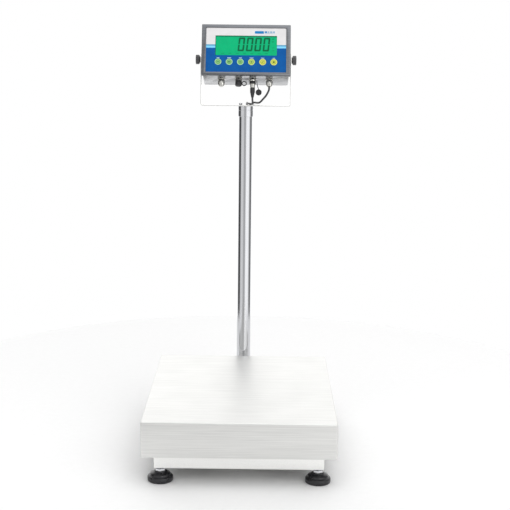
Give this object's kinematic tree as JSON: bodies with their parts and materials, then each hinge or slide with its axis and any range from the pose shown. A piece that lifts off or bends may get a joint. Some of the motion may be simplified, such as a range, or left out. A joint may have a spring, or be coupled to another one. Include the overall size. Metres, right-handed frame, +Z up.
{
  "type": "bench scale",
  "caption": "Stainless bench scale: square-cornered pan on a framed base with levelling feet, rear column and a tilting indicator in a U-shaped yoke",
  "frame": {"origin": "on the floor, in the middle of the scale's width and overall depth, pan front to indicator back", "axes": "+X to the right of a person reading the display, +Y from the pan's front edge towards the column, +Z up"},
  "size_m": [0.4, 0.61, 0.9287],
  "materials": {
    "pan_steel": "fine brushed stainless sheet",
    "frame_steel": "satin stainless, bead blasted",
    "tube_steel": "polished stainless tube",
    "yoke_steel": "satin stainless sheet",
    "bolt_steel": "plain stainless fasteners",
    "bezel_steel": "satin stainless, darker",
    "housing_steel": "satin stainless sheet",
    "cell_aluminium": "machined, clear anodised",
    "foot_rubber": "black, moulded",
    "bumper_rubber": "black, matt",
    "knob_plastic": "dark grey, moulded",
    "cap_rubber": "black, moulded",
    "gland_metal": "nickel plated",
    "level_glass": "clear acrylic vial with green fluid",
    "overlay_film": "printed polyester film, white over blue",
    "window_glass": "clear film over a green backlight",
    "lcd_body": "display module",
    "board_laminate": "green glass-epoxy laminate",
    "battery_case": "moulded case",
    "key_film": "embossed film, yellow-green",
    "clip_plastic": "black nylon",
    "cable_jacket": "black PVC jacket",
    "adapter_case": "black moulded case"
  },
  "bodies": {
    "base": {"base_frame": "frame_steel", "foot_locknut_1": "bolt_steel", "foot_locknut_2": "bolt_steel", "foot_locknut_3": "bolt_steel", "foot_locknut_4": "bolt_steel", "bubble_level": "level_glass", "base_cable_gland": "gland_metal", "load_cell": "cell_aluminium", "cell_spacer_lower": "frame_steel", "column_base": "frame_steel", "bracket_bolt_1": "bolt_steel", "bracket_bolt_2": "bolt_steel", "column_tube": "tube_steel", "column_collar": "tube_steel", "yoke": "yoke_steel", "yoke_bolt_1": "bolt_steel", "yoke_bolt_2": "bolt_steel", "cable_clip_1": "clip_plastic", "cable_clip_2": "clip_plastic", "load_cell_lead": "cable_jacket", "power_cord": "cable_jacket", "power_cord_coil": "cable_jacket", "power_adapter": "adapter_case"},
    "platform": {"load_frame": "frame_steel", "cell_spacer_upper": "frame_steel", "bumper_1": "bumper_rubber", "bumper_2": "bumper_rubber", "bumper_3": "bumper_rubber", "bumper_4": "bumper_rubber"},
    "platter": {"pan": "pan_steel"},
    "indicator": {"housing": "housing_steel", "bezel": "bezel_steel", "overlay": "overlay_film", "display_window": "window_glass", "lcd_module": "lcd_body", "main_board": "board_laminate", "battery": "battery_case", "blank_gland": "gland_metal", "power_gland": "gland_metal", "data_socket": "gland_metal", "cell_socket": "gland_metal", "cell_plug": "gland_metal"},
    "left_knob": {"knob_left": "knob_plastic"},
    "right_knob": {"knob_right": "knob_plastic"},
    "data_cover": {"data_cap": "cap_rubber"},
    "cell_cover": {"cell_cap": "cap_rubber"},
    "key_button_1": {"key_1": "key_film"},
    "key_button_2": {"key_2": "key_film"},
    "key_button_3": {"key_3": "key_film"},
    "key_button_4": {"key_4": "key_film"},
    "key_button_5": {"key_5": "key_film"},
    "key_button_6": {"key_6": "key_film"},
    "foot_1": {"foot_pad_1": "foot_rubber"},
    "adjuster_1": {"foot_stud_1": "bolt_steel"},
    "foot_2": {"foot_pad_2": "foot_rubber"},
    "adjuster_2": {"foot_stud_2": "bolt_steel"},
    "foot_3": {"foot_pad_3": "foot_rubber"},
    "adjuster_3": {"foot_stud_3": "bolt_steel"},
    "foot_4": {"foot_pad_4": "foot_rubber"},
    "adjuster_4": {"foot_stud_4": "bolt_steel"}
  },
  "joints": [
    {"name": "platform_deflection", "type": "slide", "parent": "base", "child": "platform", "axis": [0, 0, -1], "range_m": [0, 0.0004], "stiffness_N_per_m": 200000, "springref_m": -0.0005},
    {"name": "pan_lift", "type": "slide", "parent": "platform", "child": "platter", "axis": [0, 0, 1], "range_m": [0, 0.1]},
    {"name": "indicator_tilt", "type": "hinge", "parent": "base", "child": "indicator", "pos_m": [0, 0.2349, 0.847], "axis": [-1, 0, 0], "range_deg": [-25, 20], "deforming": ["power_cord", "load_cell_lead"]},
    {"name": "knob_left_turn", "type": "hinge", "parent": "indicator", "child": "left_knob", "pos_m": [0, 0.2349, 0.847], "axis": [1, 0, 0], "continuous": true},
    {"name": "knob_right_turn", "type": "hinge", "parent": "indicator", "child": "right_knob", "pos_m": [0, 0.2349, 0.847], "axis": [1, 0, 0], "continuous": true},
    {"name": "data_cap_pull", "type": "slide", "parent": "indicator", "child": "data_cover", "axis": [0, -0.4226, -0.9063], "range_m": [0, 0.012]},
    {"name": "cell_cap_swing", "type": "hinge", "parent": "indicator", "child": "cell_cover", "pos_m": [0.026, 0.20905, 0.80102], "axis": [1, 0, 0], "range_deg": [-35, 35]},
    {"name": "key_1_press", "type": "slide", "parent": "indicator", "child": "key_button_1", "axis": [0, 0.9063, -0.4226], "range_m": [0, 0.0004], "stiffness_N_per_m": 1500},
    {"name": "key_2_press", "type": "slide", "parent": "indicator", "child": "key_button_2", "axis": [0, 0.9063, -0.4226], "range_m": [0, 0.0004], "stiffness_N_per_m": 1500},
    {"name": "key_3_press", "type": "slide", "parent": "indicator", "child": "key_button_3", "axis": [0, 0.9063, -0.4226], "range_m": [0, 0.0004], "stiffness_N_per_m": 1500},
    {"name": "key_4_press", "type": "slide", "parent": "indicator", "child": "key_button_4", "axis": [0, 0.9063, -0.4226], "range_m": [0, 0.0004], "stiffness_N_per_m": 1500},
    {"name": "key_5_press", "type": "slide", "parent": "indicator", "child": "key_button_5", "axis": [0, 0.9063, -0.4226], "range_m": [0, 0.0004], "stiffness_N_per_m": 1500},
    {"name": "key_6_press", "type": "slide", "parent": "indicator", "child": "key_button_6", "axis": [0, 0.9063, -0.4226], "range_m": [0, 0.0004], "stiffness_N_per_m": 1500},
    {"name": "foot_1_height", "type": "slide", "parent": "base", "child": "foot_1", "axis": [0, 0, -1], "range_m": [-0.0022, 0.015]},
    {"name": "stud_1_turn", "type": "hinge", "parent": "foot_1", "child": "adjuster_1", "pos_m": [-0.163, -0.2651, 0.02], "axis": [0, 0, -1], "range_deg": [-460, 3100]},
    {"name": "foot_2_height", "type": "slide", "parent": "base", "child": "foot_2", "axis": [0, 0, -1], "range_m": [-0.0022, 0.015]},
    {"name": "stud_2_turn", "type": "hinge", "parent": "foot_2", "child": "adjuster_2", "pos_m": [0.163, -0.2651, 0.02], "axis": [0, 0, -1], "range_deg": [-460, 3100]},
    {"name": "foot_3_height", "type": "slide", "parent": "base", "child": "foot_3", "axis": [0, 0, -1], "range_m": [-0.0022, 0.015]},
    {"name": "stud_3_turn", "type": "hinge", "parent": "foot_3", "child": "adjuster_3", "pos_m": [-0.163, 0.1549, 0.02], "axis": [0, 0, -1], "range_deg": [-460, 3100]},
    {"name": "foot_4_height", "type": "slide", "parent": "base", "child": "foot_4", "axis": [0, 0, -1], "range_m": [-0.0022, 0.015]},
    {"name": "stud_4_turn", "type": "hinge", "parent": "foot_4", "child": "adjuster_4", "pos_m": [0.163, 0.1549, 0.02], "axis": [0, 0, -1], "range_deg": [-460, 3100]}
  ],
  "couplings": [
    {"joint": "stud_1_turn", "follows": "foot_1_height", "rad_per_m": 3590.4},
    {"joint": "stud_2_turn", "follows": "foot_2_height", "rad_per_m": 3590.4},
    {"joint": "stud_3_turn", "follows": "foot_3_height", "rad_per_m": 3590.4},
    {"joint": "stud_4_turn", "follows": "foot_4_height", "rad_per_m": 3590.4}
  ]
}
